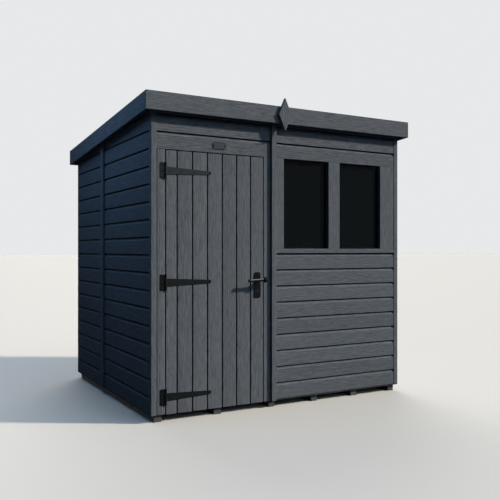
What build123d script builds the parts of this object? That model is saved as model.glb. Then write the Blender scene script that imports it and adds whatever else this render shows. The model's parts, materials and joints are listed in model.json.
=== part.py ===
# Pent shed, 7 ft by 6 ft, with one ledged door on tee hinges and a pair of fixed windows.
# Millimetres, +Z up, front faces -Y, origin on the ground below the middle of the whole outline.

import math
import os

from build123d import *

# Overall sizes of the walls
shed_width = 2126.0
shed_depth = 1829.0
bearer_height = 48.0
roof_top_front = 2182.0
roof_pitch = 4.3

# Wall construction
cladding = 14.0
frame_depth = 38.0
frame_width = 44.0
panel_joint = 2.0
header_height = 337.0
sill_bottom = 1121.0
sill_height = 33.0
sill_proud = 4.0

# Floor
bearer_width = 56.0
bearer_end_inset = 54.0
door_bays = 2
window_bays = 3
deck_thickness = 16.0
deck_inset = 6.0

# Trims and cover strips
corner_trim_width = 38.0
corner_trim_return = 34.0
corner_trim_proud = 3.0
front_strip_width = 40.0
front_strip_proud = 20.0
front_strip_centre = 938.0
wall_strip_width = 69.0
wall_strip_proud = 17.0
side_joint = 1053.0

# Door
door_from_left = 105.0
door_width = 749.0
door_gap = 6.0
ledge_height = 110.0
ledge_thickness = 20.0
ledge_end_inset = 26.0
brace_width = 90.0
brace_seat = 40.0

# Windows
left_stile_width = 94.0
mullion_width = 105.0
right_stile_width = 141.0
glass_thickness = 4.0
glass_setback = 32.0

# Roof
front_overhang = 65.0
side_overhang = 61.0
back_overhang = 49.0
fascia_thickness = 20.0
fascia_height = 124.0
fascia_rise = 8.0
felt_thickness = 3.0
roof_board = 12.0
purlin_height = 50.0
purlin_count = 4

# Diamond finial on the front fascia
finial_from_left = 992.0
finial_width = 108.0
finial_height = 240.0
finial_thickness = 22.0
finial_chamfer = 1.5

# Tee hinges
hinge_top_inset = 137.0
hinge_middle_rise = 880.0
hinge_bottom_rise = 117.0
strap_length = 336.0
strap_root = 54.0
strap_tip = 24.0
strap_thickness = 4.0
hinge_plate_width = 41.0
hinge_plate_height = 108.0
hinge_plate_thickness = 3.0
hinge_plate_corner = 6.0
barrel_radius = 5.5
barrel_stand_off = 1.0
barrel_gap = 0.75
pin_radius = 3.0
pin_clearance = 0.05
pin_head = 2.0
pin_head_radius = 4.5

# Lever lock
lock_from_edge = 49.0
lock_level = 893.5
lock_width = 54.0
lock_height = 185.0
lock_thickness = 5.0
lock_corner = 14.0
lock_edge = 1.5
cylinder_drop = 42.5
cylinder_radius = 9.0
cylinder_proud = 3.0
key_slot_width = 3.0
key_slot_height = 11.0
key_slot_depth = 6.0
spindle_offset_x = 13.0
spindle_offset_z = 37.5
spindle_radius = 7.0
spindle_clearance = 0.1
spindle_end_gap = 0.3
lever_stand_off = 58.0
lever_droop = 2.5
lever_radius = 11.0
lever_tip_radius = 10.0
lever_reach = 108.5
lever_ball = 12.0
knob_reach = 20.5
knob_radius = 19.5
knob_half_length = 12.5
knob_chamfer = 5.0

# Planes and levels worked out from the sizes above
left = -shed_width / 2
right = shed_width / 2
front_reach = front_overhang + finial_thickness
front = (front_reach - shed_depth - back_overhang) / 2
back = front + shed_depth
roof_front = front - front_overhang
roof_back = back + back_overhang
roof_left = left - side_overhang
roof_right = right + side_overhang
slope = math.tan(math.radians(roof_pitch))

wall_bottom = bearer_height
deck_top = bearer_height + deck_thickness
rail_top = deck_top + frame_width

felt_drop = fascia_rise
roof_board_drop = felt_drop + felt_thickness
wall_drop = roof_board_drop + roof_board
rail_drop = wall_drop + purlin_height
stud_drop = rail_drop + frame_width

joint_line = left + front_strip_centre
half_joint = panel_joint / 2
head_level = roof_top_front - front_overhang * slope - wall_drop - header_height
door_left = left + door_from_left
door_right = door_left + door_width
door_top = head_level - door_gap
opening_left = door_left - door_gap
opening_right = door_right + door_gap
sill_top = sill_bottom + sill_height
side_joint_line = front + side_joint
trim_inner_left = left + corner_trim_width
trim_inner_right = right - corner_trim_width
section_left = joint_line + half_joint
window_left = section_left + left_stile_width
window_end = trim_inner_right - right_stile_width
window_width = (window_end - window_left - mullion_width) / 2
window_starts = [window_left, window_end - window_width]


def roof_level(y, drop):
    """Height at depth y of the sloping plane that lies drop below the fascia tops."""
    return roof_top_front - (y - roof_front) * slope - drop


def box_between(x_low, x_high, y_low, y_high, z_low, z_high):
    """Adds a plain length of timber, given by its faces."""
    with BuildSketch(Plane.XY.offset(z_low)) as section:
        with Locations(((x_low + x_high) / 2, (y_low + y_high) / 2)):
            Rectangle(x_high - x_low, y_high - y_low)
    extrude(section.sketch, amount=z_high - z_low)


def up_to_roof(x_low, x_high, y_low, y_high, z_low, drop):
    """Adds a piece whose level foot is at z_low and whose top follows the roof slope."""
    with BuildSketch(Plane.YZ.offset(x_low)) as side:
        with BuildLine():
            Polyline(
                (y_low, z_low),
                (y_high, z_low),
                (y_high, roof_level(y_high, drop)),
                (y_low, roof_level(y_low, drop)),
                close=True,
            )
        make_face()
    extrude(side.sketch, amount=x_high - x_low)


def sloping(x_low, x_high, y_low, y_high, top_drop, bottom_drop):
    """Adds a piece whose top and underside both follow the roof slope."""
    with BuildSketch(Plane.YZ.offset(x_low)) as side:
        with BuildLine():
            Polyline(
                (y_low, roof_level(y_low, bottom_drop)),
                (y_high, roof_level(y_high, bottom_drop)),
                (y_high, roof_level(y_high, top_drop)),
                (y_low, roof_level(y_low, top_drop)),
                close=True,
            )
        make_face()
    extrude(side.sketch, amount=x_high - x_low)


def save(piece, label):
    """Names a finished piece and writes it."""
    piece.part.label = label
    export_step(piece.part, f"parts/{label}.step")


os.makedirs("parts", exist_ok=True)

# Floor: bearers under both ends, under the joint between the sections and evenly between
floor_front = front + cladding + deck_inset
floor_back = back - cladding - deck_inset
first_bearer = left + bearer_end_inset
last_bearer = right - bearer_end_inset
door_spacing = (joint_line - first_bearer) / door_bays
window_spacing = (last_bearer - joint_line) / window_bays
bearer_lines = [first_bearer + door_spacing * i for i in range(door_bays)]
bearer_lines += [joint_line + window_spacing * i for i in range(window_bays + 1)]

with BuildPart() as bearers:
    for x in bearer_lines:
        box_between(x - bearer_width / 2, x + bearer_width / 2, floor_front, floor_back, 0, bearer_height)
save(bearers, "bearers")

with BuildPart() as floor_deck:
    box_between(
        left + cladding + deck_inset,
        right - cladding - deck_inset,
        floor_front,
        floor_back,
        bearer_height,
        deck_top,
    )
save(floor_deck, "floor_deck")

# Cladding of the two side walls, each in a front and a back panel
side_front = front + corner_trim_return
side_back = back - cladding
for side, outer, inner in (("left", left, left + cladding), ("right", right - cladding, right)):
    with BuildPart() as side_wall_front_panel:
        up_to_roof(outer, inner, side_front, side_joint_line - half_joint, wall_bottom, wall_drop)
    save(side_wall_front_panel, f"{side}_wall_front_panel")
    with BuildPart() as side_wall_back_panel:
        up_to_roof(outer, inner, side_joint_line + half_joint, side_back, wall_bottom, wall_drop)
    save(side_wall_back_panel, f"{side}_wall_back_panel")

strip_front = side_joint_line - wall_strip_width / 2
strip_back = side_joint_line + wall_strip_width / 2
with BuildPart() as left_wall_cover_strip:
    up_to_roof(left - wall_strip_proud, left, strip_front, strip_back, wall_bottom, wall_drop)
save(left_wall_cover_strip, "left_wall_cover_strip")
with BuildPart() as right_wall_cover_strip:
    up_to_roof(right, right + wall_strip_proud, strip_front, strip_back, wall_bottom, wall_drop)
save(right_wall_cover_strip, "right_wall_cover_strip")

# Cladding of the back wall, in two panels with a cover strip over their joint
with BuildPart() as back_wall_left_panel:
    up_to_roof(trim_inner_left, -half_joint, back - cladding, back, wall_bottom, wall_drop)
save(back_wall_left_panel, "back_wall_left_panel")
with BuildPart() as back_wall_right_panel:
    up_to_roof(half_joint, trim_inner_right, back - cladding, back, wall_bottom, wall_drop)
save(back_wall_right_panel, "back_wall_right_panel")
with BuildPart() as back_wall_cover_strip:
    up_to_roof(
        -wall_strip_width / 2, wall_strip_width / 2, back, back + wall_strip_proud, wall_bottom, wall_drop
    )
save(back_wall_cover_strip, "back_wall_cover_strip")

# Corner trims: an angle round each front corner and a flat board at each back corner
with BuildPart() as front_left_corner_trim:
    up_to_roof(
        left - corner_trim_proud,
        trim_inner_left,
        front - corner_trim_proud,
        front + cladding,
        wall_bottom,
        wall_drop,
    )
    up_to_roof(
        left - corner_trim_proud,
        left + cladding,
        front + cladding,
        side_front,
        wall_bottom,
        wall_drop,
    )
save(front_left_corner_trim, "front_left_corner_trim")

with BuildPart() as front_right_corner_trim:
    mirror(front_left_corner_trim.part, about=Plane.YZ)
save(front_right_corner_trim, "front_right_corner_trim")

with BuildPart() as back_corner_trims:
    for x_low, x_high in ((left, trim_inner_left), (trim_inner_right, right)):
        up_to_roof(x_low, x_high, back - cladding, back + corner_trim_proud, wall_bottom, wall_drop)
save(back_corner_trims, "back_corner_trims")

# Front wall: door section at the left, window section at the right
front_skin = front + cladding
with BuildPart() as door_jamb_left:
    box_between(trim_inner_left, opening_left, front, front_skin, wall_bottom, head_level)
save(door_jamb_left, "door_jamb_left")
with BuildPart() as door_jamb_right:
    box_between(opening_right, joint_line - half_joint, front, front_skin, wall_bottom, head_level)
save(door_jamb_right, "door_jamb_right")
with BuildPart() as header_over_door:
    up_to_roof(trim_inner_left, joint_line - half_joint, front, front_skin, head_level, wall_drop)
save(header_over_door, "header_over_door")

strip_left = joint_line - front_strip_width / 2
strip_right = joint_line + front_strip_width / 2
with BuildPart() as wall_under_windows:
    box_between(section_left, trim_inner_right, front, front_skin, wall_bottom, sill_bottom)
save(wall_under_windows, "wall_under_windows")
with BuildPart() as window_sill:
    box_between(section_left, trim_inner_right, front, front_skin, sill_bottom, sill_top)
    box_between(strip_right, trim_inner_right, front - sill_proud, front, sill_bottom, sill_top)
save(window_sill, "window_sill")
with BuildPart() as window_left_stile:
    box_between(section_left, window_left, front, front_skin, sill_top, head_level)
save(window_left_stile, "window_left_stile")
with BuildPart() as window_mullion:
    box_between(
        window_left + window_width, window_starts[1], front, front_skin, sill_top, head_level
    )
save(window_mullion, "window_mullion")
with BuildPart() as window_right_stile:
    box_between(window_end, trim_inner_right, front, front_skin, sill_top, head_level)
save(window_right_stile, "window_right_stile")
with BuildPart() as header_over_windows:
    up_to_roof(section_left, trim_inner_right, front, front_skin, head_level, wall_drop)
save(header_over_windows, "header_over_windows")

with BuildPart() as window_panes:
    for x in window_starts:
        box_between(
            x,
            x + window_width,
            front + glass_setback,
            front + glass_setback + glass_thickness,
            sill_top,
            head_level,
        )
save(window_panes, "window_panes")

with BuildPart() as section_cover_strip:
    up_to_roof(strip_left, strip_right, front - front_strip_proud, front, wall_bottom, wall_drop)
save(section_cover_strip, "section_cover_strip")

# Wall framing: the side frames run the full depth, the front and back frames fit between them
frame_left = left + cladding
frame_right = right - cladding
cross_left = frame_left + frame_depth + panel_joint
cross_right = frame_right - frame_depth - panel_joint
frame_front = front + cladding
frame_back = back - cladding
cross_front = frame_front + frame_depth
cross_back = frame_back - frame_depth
side_panels = (
    (frame_front, side_joint_line - half_joint),
    (side_joint_line + half_joint, frame_back),
)
back_panels = ((cross_left, -half_joint), (half_joint, cross_right))
side_frames = ((frame_left, frame_left + frame_depth), (frame_right - frame_depth, frame_right))


def studs_along(start, end):
    """Where the two end studs and the middle stud of a panel begin."""
    return (start, (start + end - frame_width) / 2, end - frame_width)


front_studs = (
    (cross_left, opening_left),
    (opening_right, opening_right + frame_width),
    (window_left - frame_width, window_left),
    (window_left + window_width, window_starts[1]),
    (window_end, window_end + frame_width),
    (cross_right - frame_width, cross_right),
)

with BuildPart() as wall_studs:
    for x_low, x_high in side_frames:
        for start, end in side_panels:
            for y in studs_along(start, end):
                up_to_roof(x_low, x_high, y, y + frame_width, rail_top, stud_drop)
    for start, end in back_panels:
        for x in studs_along(start, end):
            up_to_roof(x, x + frame_width, cross_back, frame_back, rail_top, stud_drop)
    for x_low, x_high in front_studs:
        up_to_roof(x_low, x_high, frame_front, cross_front, rail_top, stud_drop)
save(wall_studs, "wall_studs")

door_foot_left = (cross_left, opening_left)
door_foot_right = (opening_right, joint_line - half_joint)
with BuildPart() as bottom_rails:
    for x_low, x_high in side_frames:
        for start, end in side_panels:
            box_between(x_low, x_high, start, end, deck_top, rail_top)
    for start, end in back_panels:
        box_between(start, end, cross_back, frame_back, deck_top, rail_top)
    for start, end in (door_foot_left, door_foot_right, (section_left, cross_right)):
        box_between(start, end, frame_front, cross_front, deck_top, rail_top)
save(bottom_rails, "bottom_rails")

with BuildPart() as top_rails:
    for x_low, x_high in side_frames:
        for start, end in side_panels:
            sloping(x_low, x_high, start, end, rail_drop, stud_drop)
    for start, end in back_panels:
        sloping(start, end, cross_back, frame_back, rail_drop, stud_drop)
    for start, end in ((cross_left, joint_line - half_joint), (section_left, cross_right)):
        sloping(start, end, frame_front, cross_front, rail_drop, stud_drop)
save(top_rails, "top_rails")

with BuildPart() as opening_rails:
    box_between(opening_left, opening_right, frame_front, cross_front, head_level, head_level + frame_width)
    for x in window_starts:
        for z_low in (sill_top - frame_width, head_level):
            box_between(x, x + window_width, frame_front, cross_front, z_low, z_low + frame_width)
save(opening_rails, "opening_rails")

# Roof: purlins on the side frames, boards and felt over them, a mitred fascia all round
purlin_run = frame_back - frame_front - frame_width
with BuildPart() as roof_purlins:
    for i in range(purlin_count):
        y = frame_front + purlin_run * i / (purlin_count - 1)
        sloping(frame_left, frame_right, y, y + frame_width, wall_drop, rail_drop)
save(roof_purlins, "roof_purlins")

inner_left = roof_left + fascia_thickness
inner_right = roof_right - fascia_thickness
inner_front = roof_front + fascia_thickness
inner_back = roof_back - fascia_thickness
with BuildPart() as roof_boards:
    sloping(inner_left, inner_right, inner_front, inner_back, roof_board_drop, wall_drop)
save(roof_boards, "roof_boards")
with BuildPart() as roof_felt:
    sloping(inner_left, inner_right, inner_front, inner_back, felt_drop, roof_board_drop)
save(roof_felt, "roof_felt")

roof_normal = (0, math.sin(math.radians(roof_pitch)), math.cos(math.radians(roof_pitch)))
fascia_top = Plane((0, roof_front, roof_top_front), (1, 0, 0), roof_normal)
fascia_bottom = Plane((0, roof_front, roof_top_front - fascia_height), (1, 0, 0), roof_normal)
fascia_plans = {
    "front_fascia": (
        (roof_left, roof_front),
        (roof_right, roof_front),
        (inner_right, inner_front),
        (inner_left, inner_front),
    ),
    "back_fascia": (
        (inner_left, inner_back),
        (inner_right, inner_back),
        (roof_right, roof_back),
        (roof_left, roof_back),
    ),
    "left_fascia": (
        (roof_left, roof_front),
        (inner_left, inner_front),
        (inner_left, inner_back),
        (roof_left, roof_back),
    ),
    "right_fascia": (
        (inner_right, inner_front),
        (roof_right, roof_front),
        (roof_right, roof_back),
        (inner_right, inner_back),
    ),
}
for label, corners in fascia_plans.items():
    with BuildPart() as fascia:
        with BuildSketch():
            with BuildLine():
                Polyline(*corners, close=True)
            make_face()
        extrude(amount=roof_top_front)
        split(bisect_by=fascia_top, keep=Keep.BOTTOM)
        split(bisect_by=fascia_bottom, keep=Keep.TOP)
    save(fascia, label)

# Diamond finial standing on the face of the front fascia
finial_x = left + finial_from_left
finial_middle = roof_top_front - fascia_height / 2
finial_tip = finial_middle + finial_height / 2
with BuildPart() as finial:
    with BuildSketch(Plane.XZ.offset(-roof_front)):
        with BuildLine():
            Polyline(
                (finial_x, finial_middle - finial_height / 2),
                (finial_x + finial_width / 2, finial_middle),
                (finial_x, finial_tip),
                (finial_x - finial_width / 2, finial_middle),
                close=True,
            )
        make_face()
    extrude(amount=finial_thickness)
    chamfer(finial.faces().sort_by(Axis.Y)[0].edges(), length=finial_chamfer)
save(finial, "finial")

# Door: a boarded leaf on three ledges with two braces
hinge_levels = (
    door_top - hinge_top_inset,
    wall_bottom + hinge_middle_rise,
    wall_bottom + hinge_bottom_rise,
)
ledge_left = door_left + ledge_end_inset
ledge_right = door_right - ledge_end_inset
ledge_back = front_skin + ledge_thickness

with BuildPart() as door_leaf:
    box_between(door_left, door_right, front, front_skin, wall_bottom, door_top)
save(door_leaf, "door_leaf")

with BuildPart() as door_ledges:
    for z in hinge_levels:
        box_between(
            ledge_left,
            ledge_right,
            front_skin,
            ledge_back,
            z - ledge_height / 2,
            z + ledge_height / 2,
        )
save(door_ledges, "door_ledges")

# Each brace rises from the hinge side to the lock side between two ledges
with BuildPart() as door_braces:
    for upper, lower in zip(hinge_levels, hinge_levels[1:]):
        foot = lower + ledge_height / 2
        head = upper - ledge_height / 2
        foot_x = ledge_left + brace_seat
        head_x = ledge_right - brace_seat
        with BuildSketch(Plane.XZ.offset(-ledge_back)):
            with BuildLine():
                Polyline(
                    (foot_x, foot),
                    (foot_x + brace_width, foot),
                    (head_x, head),
                    (head_x - brace_width, head),
                    close=True,
                )
            make_face()
        extrude(amount=ledge_thickness)
save(door_braces, "door_braces")

# Tee hinges: a plate on the jamb and a tapered strap on the door, with knuckles on one pin
pin_x = door_left - door_gap / 2
pin_y = front - barrel_stand_off - barrel_radius
bore_radius = pin_radius + pin_clearance
strap_knuckle = strap_root / 2 - barrel_gap
plate_half = hinge_plate_height / 2

with BuildPart() as hinge_straps:
    for z in hinge_levels:
        with BuildSketch(Plane.XZ.offset(-front)):
            with BuildLine():
                Polyline(
                    (pin_x + strap_length - strap_tip / 2, z + strap_tip / 2),
                    (pin_x, z + strap_knuckle),
                    (pin_x, z - strap_knuckle),
                    (pin_x + strap_length - strap_tip / 2, z - strap_tip / 2),
                )
                ThreePointArc(
                    (pin_x + strap_length - strap_tip / 2, z - strap_tip / 2),
                    (pin_x + strap_length, z),
                    (pin_x + strap_length - strap_tip / 2, z + strap_tip / 2),
                )
            make_face()
        extrude(amount=strap_thickness)
        with BuildSketch(Plane.XY.offset(z - strap_knuckle)):
            with Locations((pin_x, pin_y)):
                Circle(barrel_radius)
        extrude(amount=2 * strap_knuckle)
        with BuildSketch(Plane.XY.offset(z - strap_knuckle)):
            with Locations((pin_x, pin_y)):
                Circle(bore_radius)
        extrude(amount=2 * strap_knuckle, mode=Mode.SUBTRACT)
save(hinge_straps, "hinge_straps")

# The plate is cut back behind the strap's knuckle, which turns past it
plate_cut = barrel_radius + 2 * barrel_gap
with BuildPart() as hinge_plates:
    for z in hinge_levels:
        box_between(
            pin_x - hinge_plate_width,
            pin_x,
            front - hinge_plate_thickness,
            front,
            z - plate_half,
            z + plate_half,
        )
    fillet(hinge_plates.edges().filter_by(Axis.Y).group_by(Axis.X)[0], radius=hinge_plate_corner)
    for z in hinge_levels:
        with BuildSketch(Plane.XY.offset(z - plate_half)):
            with Locations((pin_x, pin_y)):
                Circle(barrel_radius)
        extrude(amount=2 * plate_half)
        with BuildSketch(Plane.XZ.offset(-front)):
            with Locations((pin_x, z)):
                Rectangle(2 * plate_cut, strap_root)
        extrude(amount=2 * plate_cut, mode=Mode.SUBTRACT)
        with BuildSketch(Plane.XY.offset(z - plate_half)):
            with Locations((pin_x, pin_y)):
                Circle(bore_radius)
        extrude(amount=2 * plate_half, mode=Mode.SUBTRACT)
save(hinge_plates, "hinge_plates")

with BuildPart() as hinge_pins:
    for z in hinge_levels:
        with Locations((pin_x, pin_y, z)):
            Cylinder(pin_radius, hinge_plate_height)
        for end in (-1, 1):
            with Locations((pin_x, pin_y, z + end * (plate_half + pin_head / 2))):
                Cylinder(pin_head_radius, pin_head)
save(hinge_pins, "hinge_pins")

# Lock plate with a keyed cylinder below the bore that the lever's spindle turns in
lock_x = door_right - lock_from_edge
spindle_x = lock_x + spindle_offset_x
spindle_z = lock_level + spindle_offset_z
key_z = lock_level - cylinder_drop
lock_face = Plane.XZ.offset(-front)
with BuildPart() as lock_plate:
    with BuildSketch(lock_face):
        with Locations((lock_x, lock_level)):
            RectangleRounded(lock_width, lock_height, lock_corner)
    extrude(amount=lock_thickness)
    chamfer(lock_plate.faces().sort_by(Axis.Y)[0].edges(), length=lock_edge)
    with BuildSketch(lock_face.offset(lock_thickness)):
        with Locations((lock_x, key_z)):
            Circle(cylinder_radius)
    extrude(amount=cylinder_proud)
    with BuildSketch(lock_face.offset(lock_thickness + cylinder_proud)):
        with Locations((lock_x, key_z)):
            SlotOverall(key_slot_height, key_slot_width, rotation=90)
    extrude(amount=-key_slot_depth, mode=Mode.SUBTRACT)
    with BuildSketch(lock_face):
        with Locations((spindle_x, spindle_z)):
            Circle(spindle_radius + spindle_clearance)
    extrude(amount=lock_thickness, mode=Mode.SUBTRACT)
save(lock_plate, "lock_plate")

# Lever: a spindle through the plate, a bar that droops to a ball tip and a round knob at its other end
droop = math.radians(lever_droop)
lever_line = (math.cos(droop), 0, math.sin(droop))
lever_plane = Plane((spindle_x, front - lever_stand_off, spindle_z), lever_line, (0, -1, 0))
ball_long = lever_ball * math.cos(math.pi / 8)
ball_short = lever_ball * math.sin(math.pi / 8)
ball_neck = math.sqrt(lever_ball**2 - lever_tip_radius**2)
knob_start = knob_reach - knob_half_length
knob_end = knob_reach + knob_half_length
with BuildPart() as lever_handle:
    with BuildSketch(lever_plane):
        with BuildLine():
            Polyline(
                (-lever_reach - ball_long, 0),
                (-lever_reach - ball_long, ball_short),
                (-lever_reach - ball_short, ball_long),
                (-lever_reach + ball_short, ball_long),
                (-lever_reach + ball_neck, lever_tip_radius),
                (knob_start, lever_radius),
                (knob_start, knob_radius - knob_chamfer),
                (knob_start + knob_chamfer, knob_radius),
                (knob_end - knob_chamfer, knob_radius),
                (knob_end, knob_radius - knob_chamfer),
                (knob_end, 0),
                close=True,
            )
        make_face()
    revolve(axis=Axis(lever_plane.origin, lever_line))
    with BuildSketch(lock_face.offset(spindle_end_gap)):
        with Locations((spindle_x, spindle_z)):
            Circle(spindle_radius)
    extrude(amount=lever_stand_off - spindle_end_gap)
save(lever_handle, "lever_handle")
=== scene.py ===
import json
import math

import bpy
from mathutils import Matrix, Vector

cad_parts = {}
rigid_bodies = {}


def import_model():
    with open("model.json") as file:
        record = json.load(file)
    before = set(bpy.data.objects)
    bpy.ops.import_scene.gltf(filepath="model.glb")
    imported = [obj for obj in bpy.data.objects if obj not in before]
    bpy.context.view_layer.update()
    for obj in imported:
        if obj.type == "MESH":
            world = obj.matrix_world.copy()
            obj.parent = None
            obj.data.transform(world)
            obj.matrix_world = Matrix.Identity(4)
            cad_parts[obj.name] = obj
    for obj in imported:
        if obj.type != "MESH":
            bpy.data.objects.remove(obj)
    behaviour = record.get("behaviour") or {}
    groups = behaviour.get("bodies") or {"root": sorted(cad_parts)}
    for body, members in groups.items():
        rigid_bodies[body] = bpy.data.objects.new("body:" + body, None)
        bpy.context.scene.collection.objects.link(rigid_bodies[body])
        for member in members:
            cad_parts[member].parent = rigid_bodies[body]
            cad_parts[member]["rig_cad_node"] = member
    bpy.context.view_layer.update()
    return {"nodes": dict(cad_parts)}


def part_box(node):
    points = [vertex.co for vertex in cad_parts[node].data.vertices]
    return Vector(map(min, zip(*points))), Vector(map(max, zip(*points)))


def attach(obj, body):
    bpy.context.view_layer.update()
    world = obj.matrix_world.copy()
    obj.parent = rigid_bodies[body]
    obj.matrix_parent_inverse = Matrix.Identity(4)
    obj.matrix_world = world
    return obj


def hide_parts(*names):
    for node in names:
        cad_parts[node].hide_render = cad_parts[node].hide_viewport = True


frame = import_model()
print("frame loaded")

# Camera at the photograph's place and angle
photoView = {"eye": (-2.621, -4.9805, 1.1445), "turn": -29.43, "lens": 47.31, "sight": 600}
bpy.ops.object.camera_add(
    location=photoView["eye"],
    rotation=(math.radians(90), 0, math.radians(photoView["turn"])),
)
photoCamera = bpy.context.object
photoCamera.name = "photoCamera"
photoCamera.data.lens = photoView["lens"]
photoCamera.data.clip_end = photoView["sight"]
bpy.context.scene.camera = photoCamera
bpy.context.scene.view_settings.view_transform = "Standard"

# How every piece is finished, with angles in degrees; places within samePlace count as one
making = {"weldDistance": 0.00002, "flatAngle": 0.5, "bevelAngle": 40, "smoothAngle": 50}
samePlace = 0.00001


# Small tools for picking, placing and finishing pieces
def clearSelection():
    if bpy.context.object and bpy.context.object.mode != "OBJECT":
        bpy.ops.object.mode_set(mode="OBJECT")
    bpy.ops.object.select_all(action="DESELECT")


def pick(*pieces):
    clearSelection()
    for piece in pieces:
        piece.select_set(True)
    bpy.context.view_layer.objects.active = pieces[0]


def settle(piece):
    pick(piece)
    bpy.ops.object.transform_apply(location=True, rotation=True, scale=True)
    return piece


def choose(piece, kind, test):  # selects vertices, edges or faces by place, and stays in edit mode
    pick(piece)
    bpy.ops.object.mode_set(mode="EDIT")
    bpy.ops.mesh.select_mode(type=kind)
    bpy.ops.mesh.select_all(action="DESELECT")
    bpy.ops.object.mode_set(mode="OBJECT")
    mesh = piece.data
    if kind == "VERT":
        for vertex in mesh.vertices:
            vertex.select = test(vertex.co)
    elif kind == "EDGE":
        for edge in mesh.edges:
            edge.select = test(*[mesh.vertices[i].co for i in edge.vertices])
    else:
        for face in mesh.polygons:
            face.select = test(face.center, face.normal)
    bpy.ops.object.mode_set(mode="EDIT")


def shift(piece, test, step):
    choose(piece, "VERT", test)
    bpy.ops.transform.translate(value=step)
    bpy.ops.object.mode_set(mode="OBJECT")


def bevelEdges(piece, test, width, segments):
    choose(piece, "EDGE", test)
    bpy.ops.mesh.bevel(offset=width, segments=segments)
    bpy.ops.object.mode_set(mode="OBJECT")


def cutAcross(piece, place, direction, **settings):
    pick(piece)
    bpy.ops.object.mode_set(mode="EDIT")
    bpy.ops.mesh.select_all(action="SELECT")
    bpy.ops.mesh.bisect(plane_co=place, plane_no=direction, **settings)
    bpy.ops.object.mode_set(mode="OBJECT")


def block(low, high):
    clearSelection()
    bpy.ops.mesh.primitive_cube_add(
        size=1,
        location=[(a + b) / 2 for a, b in zip(low, high)],
        scale=[b - a for a, b in zip(low, high)],
    )
    return settle(bpy.context.object)


def joined(parts, name):
    pick(*parts)
    bpy.ops.object.join()
    parts[0].name = name
    return parts[0]


def finishWith(piece, kind, **settings):
    pick(piece)
    modifier = piece.modifiers.new(kind, kind)
    for name, value in settings.items():
        setattr(modifier, name, value)
    bpy.ops.object.modifier_apply(modifier=modifier.name)


def repeat(piece, count, step):
    finishWith(
        piece,
        "ARRAY",
        count=count,
        use_relative_offset=False,
        use_constant_offset=True,
        constant_offset_displace=step,
    )


def easeEdges(piece, width, segments=2):
    finishWith(
        piece,
        "BEVEL",
        width=width,
        segments=segments,
        limit_method="ANGLE",
        angle_limit=math.radians(making["bevelAngle"]),
    )


def dress(piece, material, body="shed", nodes=()):
    pick(piece)
    bpy.ops.object.shade_smooth_by_angle(angle=math.radians(making["smoothAngle"]))
    finishWith(piece, "WEIGHTED_NORMAL", keep_sharp=True)
    piece.data.materials.clear()
    piece.data.materials.append(material)
    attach(piece, body)
    if nodes:
        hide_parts(*nodes)


# Takes a copy of a CAD piece, rounds its arrises and gives it its finish
def dressCopy(node, name, width, material, body="shed", segments=2):
    pick(frame["nodes"][node])
    bpy.ops.object.duplicate()
    piece = bpy.context.object
    piece.name = name
    del piece["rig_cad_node"]
    bpy.ops.object.mode_set(mode="EDIT")
    bpy.ops.mesh.select_all(action="SELECT")
    bpy.ops.mesh.remove_doubles(threshold=making["weldDistance"])
    bpy.ops.mesh.dissolve_limited(angle_limit=math.radians(making["flatAngle"]))
    bpy.ops.object.mode_set(mode="OBJECT")
    easeEdges(piece, width, segments)
    dress(piece, material, body, [node])


# Small tools for shader nodes
def wire(tree, node, inputs):
    for name, value in inputs.items():
        if isinstance(value, bpy.types.NodeSocket):
            tree.links.new(value, node.inputs[name])
        else:
            node.inputs[name].default_value = value


def put(tree, kind, inputs=None, **settings):
    node = tree.nodes.new("ShaderNode" + kind)
    for name, value in settings.items():
        setattr(node, name, value)
    wire(tree, node, inputs or {})
    return node


def calc(tree, operation, *values):
    return put(tree, "Math", dict(enumerate(values)), operation=operation).outputs[0]


def scaled(tree, vector, share):
    return put(tree, "VectorMath", {0: vector, "Scale": share}, operation="SCALE").outputs[0]


def partOf(tree, vector, axis):
    return put(tree, "SeparateXYZ", {0: vector}).outputs[axis]


def fade(tree, value, start, end, low=0.0, high=1.0):
    limits = {"Value": value, "From Min": start, "From Max": end, "To Min": low, "To Max": high}
    return put(tree, "MapRange", limits, interpolation_type="SMOOTHSTEP").outputs[0]


def mixColours(tree, factor, first, second):  # sockets 6, 7 and 2 are the colour ones
    return put(tree, "Mix", {0: factor, 6: first, 7: second}, data_type="RGBA").outputs[2]


def noise(tree, vector, scale, detail, roughness=0.5):
    settings = {"Vector": vector, "Scale": scale, "Detail": detail, "Roughness": roughness}
    return put(tree, "TexNoise", settings).outputs[0]


def newMaterial(name):
    material = bpy.data.materials.new(name)
    material.use_nodes = True
    tree = material.node_tree
    return material, tree, tree.nodes["Principled BSDF"]


# Studio: a key lamp, a soft lamp behind, a softbox above the left side, a fill that differs
# from side to side, a pale floor and a pale backdrop
studio = {
    "towardsKey": (1.64, -1.0, 1.15),
    "keyStrength": 4.9,
    "keyTint": (0.96, 0.84, 0.73),
    "keyAngle": 3.5,
    "towardsRear": (0.35, 1.0, 0.75),
    "rearStrength": 2.2,
    "rearTint": (1.0, 0.95, 0.90),
    "rearAngle": 50,
    "softboxPlace": (-2.15, -0.2, 3.25),
    "softboxAim": (-1.066, -0.2, 1.9),
    "softboxSize": 1.6,
    "softboxPower": 27.5,
    "softboxTint": (0.325, 0.57, 0.95),
    "fillFront": (1.16, 1.53, 1.91, 1),
    "fillAround": (0.235, 0.46, 0.88, 1),
    "fillLeft": (0.002, 0.010, 0.020, 1),
    "frontReach": (0.2, -0.8),
    "leftReach": (0.16, -0.25),
    "fillRise": (0.10, 0.42),
    "backdrop": (0.80, 0.81, 0.82, 1),
    "floorColour": (0.530, 0.515, 0.462, 1),
    "floorBounce": (0.020, 0.030, 0.045, 1),
    "floorRoughness": 0.85,
    "floorSpecular": 0.1,
    "floorSize": 300,
}


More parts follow.
